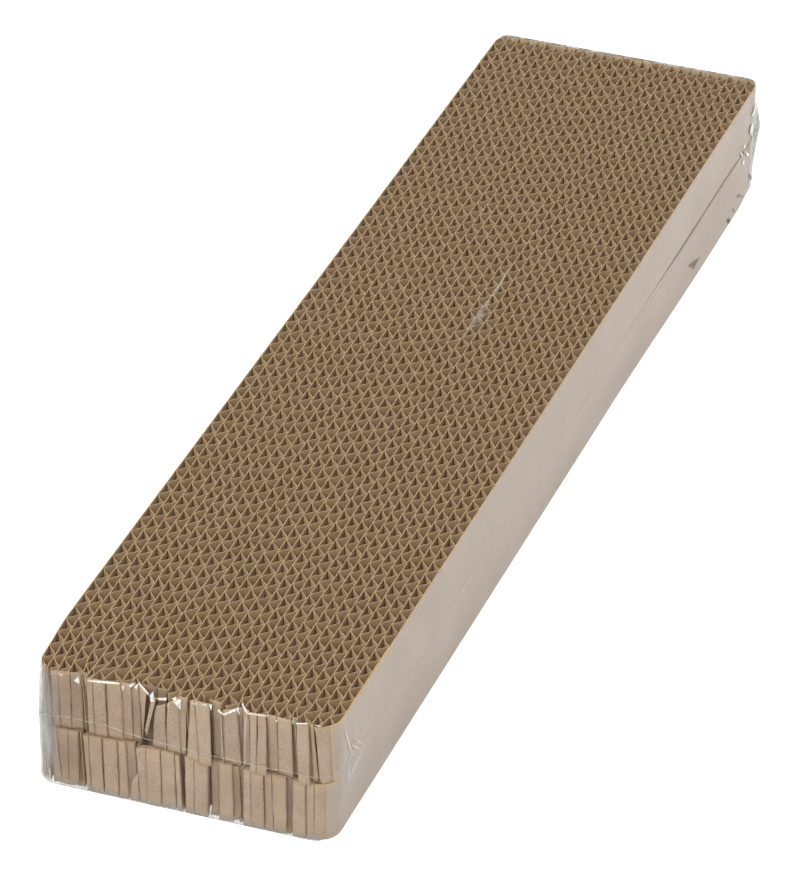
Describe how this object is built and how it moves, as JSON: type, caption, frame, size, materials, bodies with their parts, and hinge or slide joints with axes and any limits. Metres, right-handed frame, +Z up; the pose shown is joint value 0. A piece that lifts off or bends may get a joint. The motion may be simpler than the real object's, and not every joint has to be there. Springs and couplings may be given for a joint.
{
  "type": "cardboard cat scratcher",
  "caption": "Pack of two cardboard cat scratching pads, each made of glued corrugated strips on edge, in clear film.",
  "frame": {"origin": "middle of the pack's footprint, on the surface that it lies on", "axes": "+Z up, +Y along the strips to the end that is far in the picture, +X across the strips to the picture's right"},
  "size_m": [0.104, 0.4642, 0.0428],
  "materials": {
    "corrugated_board": "matte recycled kraft paper, fibres showing on the cut edges",
    "side_liner": "smooth matte liner paper",
    "film": "clear glossy shrink film with small wrinkles"
  },
  "bodies": {
    "lower_film": {"film_lower_web": "film"},
    "lower_pad": {"lower_strip_01": "corrugated_board", "lower_strip_02": "corrugated_board", "lower_strip_03": "corrugated_board", "lower_strip_04": "corrugated_board", "lower_strip_05": "corrugated_board", "lower_strip_06": "corrugated_board", "lower_strip_07": "corrugated_board", "lower_strip_08": "corrugated_board", "lower_strip_09": "corrugated_board", "lower_strip_10": "corrugated_board", "lower_strip_11": "corrugated_board", "lower_strip_12": "corrugated_board", "lower_strip_13": "corrugated_board", "lower_strip_14": "corrugated_board", "lower_strip_15": "corrugated_board", "lower_strip_16": "corrugated_board", "lower_strip_17": "corrugated_board", "lower_strip_18": "corrugated_board", "lower_strip_19": "corrugated_board", "lower_strip_20": "corrugated_board", "lower_strip_21": "corrugated_board", "lower_strip_22": "corrugated_board", "lower_strip_23": "corrugated_board", "lower_strip_24": "corrugated_board", "lower_strip_25": "corrugated_board", "lower_strip_26": "corrugated_board", "lower_strip_27": "corrugated_board", "lower_side_liner": "side_liner"},
    "upper_pad": {"upper_strip_01": "corrugated_board", "upper_strip_02": "corrugated_board", "upper_strip_03": "corrugated_board", "upper_strip_04": "corrugated_board", "upper_strip_05": "corrugated_board", "upper_strip_06": "corrugated_board", "upper_strip_07": "corrugated_board", "upper_strip_08": "corrugated_board", "upper_strip_09": "corrugated_board", "upper_strip_10": "corrugated_board", "upper_strip_11": "corrugated_board", "upper_strip_12": "corrugated_board", "upper_strip_13": "corrugated_board", "upper_strip_14": "corrugated_board", "upper_strip_15": "corrugated_board", "upper_strip_16": "corrugated_board", "upper_strip_17": "corrugated_board", "upper_strip_18": "corrugated_board", "upper_strip_19": "corrugated_board", "upper_strip_20": "corrugated_board", "upper_strip_21": "corrugated_board", "upper_strip_22": "corrugated_board", "upper_strip_23": "corrugated_board", "upper_strip_24": "corrugated_board", "upper_strip_25": "corrugated_board", "upper_strip_26": "corrugated_board", "upper_strip_27": "corrugated_board", "upper_side_liner": "side_liner"},
    "upper_film": {"film_upper_web": "film"}
  },
  "joints": [
    {"name": "lower_pad_lift", "type": "slide", "parent": "lower_film", "child": "lower_pad", "axis": [0, 0, 1], "range_m": [0, 0.04]},
    {"name": "upper_pad_lift", "type": "slide", "parent": "lower_pad", "child": "upper_pad", "axis": [0, 0, 1], "range_m": [0, 0.04]},
    {"name": "upper_film_lift", "type": "slide", "parent": "upper_pad", "child": "upper_film", "axis": [0, 0, 1], "range_m": [0, 0.04]}
  ]
}
